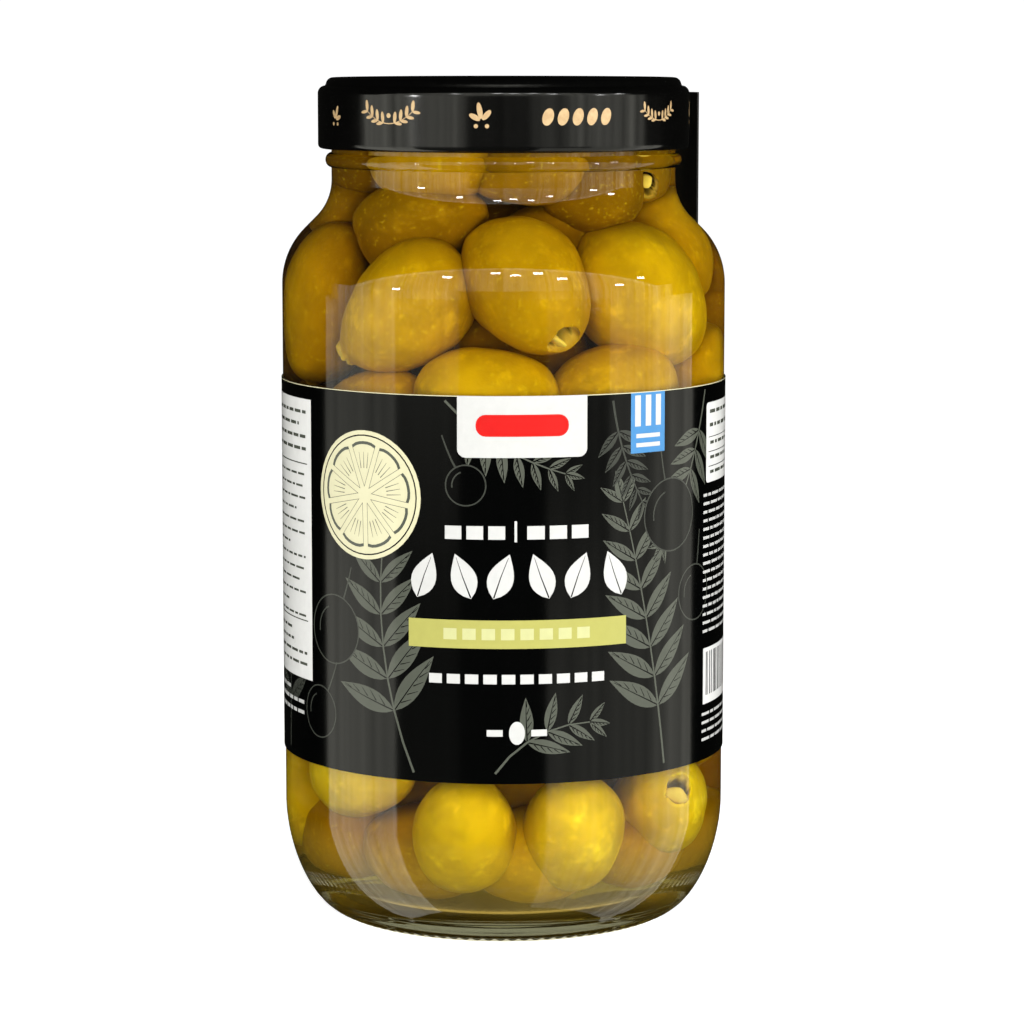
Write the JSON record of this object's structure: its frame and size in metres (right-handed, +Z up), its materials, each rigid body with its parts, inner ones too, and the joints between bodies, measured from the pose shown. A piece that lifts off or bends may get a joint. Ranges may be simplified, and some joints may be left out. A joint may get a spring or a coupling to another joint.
{
  "type": "jar of olives",
  "caption": "Tall round glass jar with a twist-off metal lid, full of large pitted green olives in brine, with a dark wrap-round paper label.",
  "frame": {"origin": "middle of the base, on the surface that the jar stands on", "axes": "+Z up along the jar's axis, -Y towards the front of the label, +X to the viewer's right"},
  "size_m": [0.1108, 0.1108, 0.208],
  "materials": {
    "glass": "clear soda-lime glass, slightly green at the base",
    "lid_metal": "gloss black lacquered tinplate",
    "label_paper": "satin black coated paper",
    "strip_paper": "satin black coated paper",
    "olive_flesh": "waxy olive skin, wet"
  },
  "bodies": {
    "root": {"jar_glass": "glass", "lid": "lid_metal", "label": "label_paper", "seal_strip": "strip_paper", "olives": "olive_flesh"}
  },
  "joints": []
}
